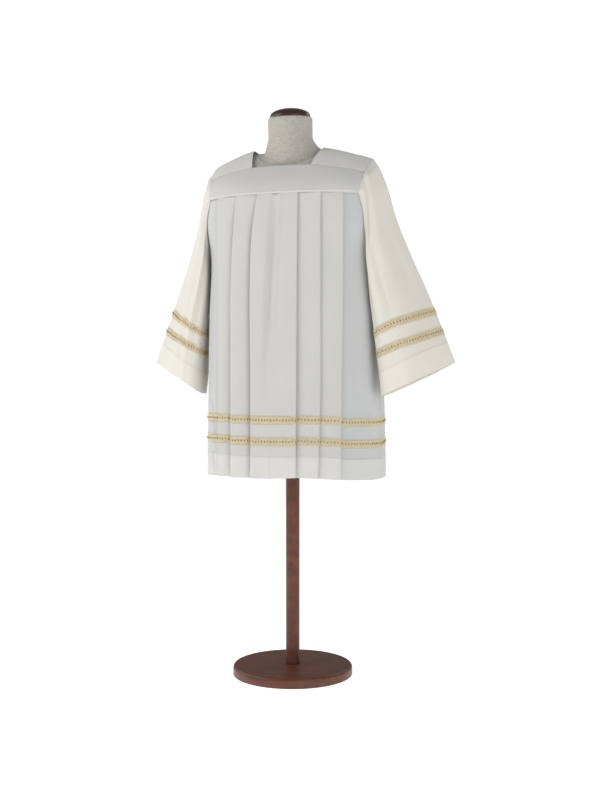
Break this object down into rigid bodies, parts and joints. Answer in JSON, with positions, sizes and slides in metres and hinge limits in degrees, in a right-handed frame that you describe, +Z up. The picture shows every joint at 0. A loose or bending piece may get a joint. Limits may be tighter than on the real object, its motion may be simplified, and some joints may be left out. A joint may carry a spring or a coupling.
{
  "type": "surplice on a limbless dress form",
  "caption": "Knee-length liturgical surplice with a square neck, knife-pleated body, wide flared sleeves and gold trims, on a linen-covered dress form with a round wooden base",
  "frame": {"origin": "centre of the underside of the round base, on the surface that the dress form stands on", "axes": "+Z is up, the front of the surplice faces -Y, and the wearer's left is +X"},
  "size_m": [0.888, 0.3866, 1.5505],
  "materials": {
    "ivory_cloth": "matt, closely woven ivory cloth",
    "gold_trim": "woven gold and cream braid",
    "linen": "plain linen cover",
    "dark_wood": "dark varnish",
    "red_wood": "reddish-brown varnish"
  },
  "bodies": {
    "root": {"front_panel": "ivory_cloth", "back_panel": "ivory_cloth", "front_yoke": "ivory_cloth", "back_yoke": "ivory_cloth", "shoulder_left": "ivory_cloth", "shoulder_right": "ivory_cloth", "sleeve_left": "ivory_cloth", "sleeve_right": "ivory_cloth", "trim_front_lower": "gold_trim", "trim_front_upper": "gold_trim", "trim_back_lower": "gold_trim", "trim_back_upper": "gold_trim", "trim_sleeve_left_lower": "gold_trim", "trim_sleeve_left_upper": "gold_trim", "trim_sleeve_right_lower": "gold_trim", "trim_sleeve_right_upper": "gold_trim", "form_torso": "linen", "form_cap": "dark_wood", "form_pole": "red_wood", "form_base": "red_wood"}
  },
  "joints": []
}
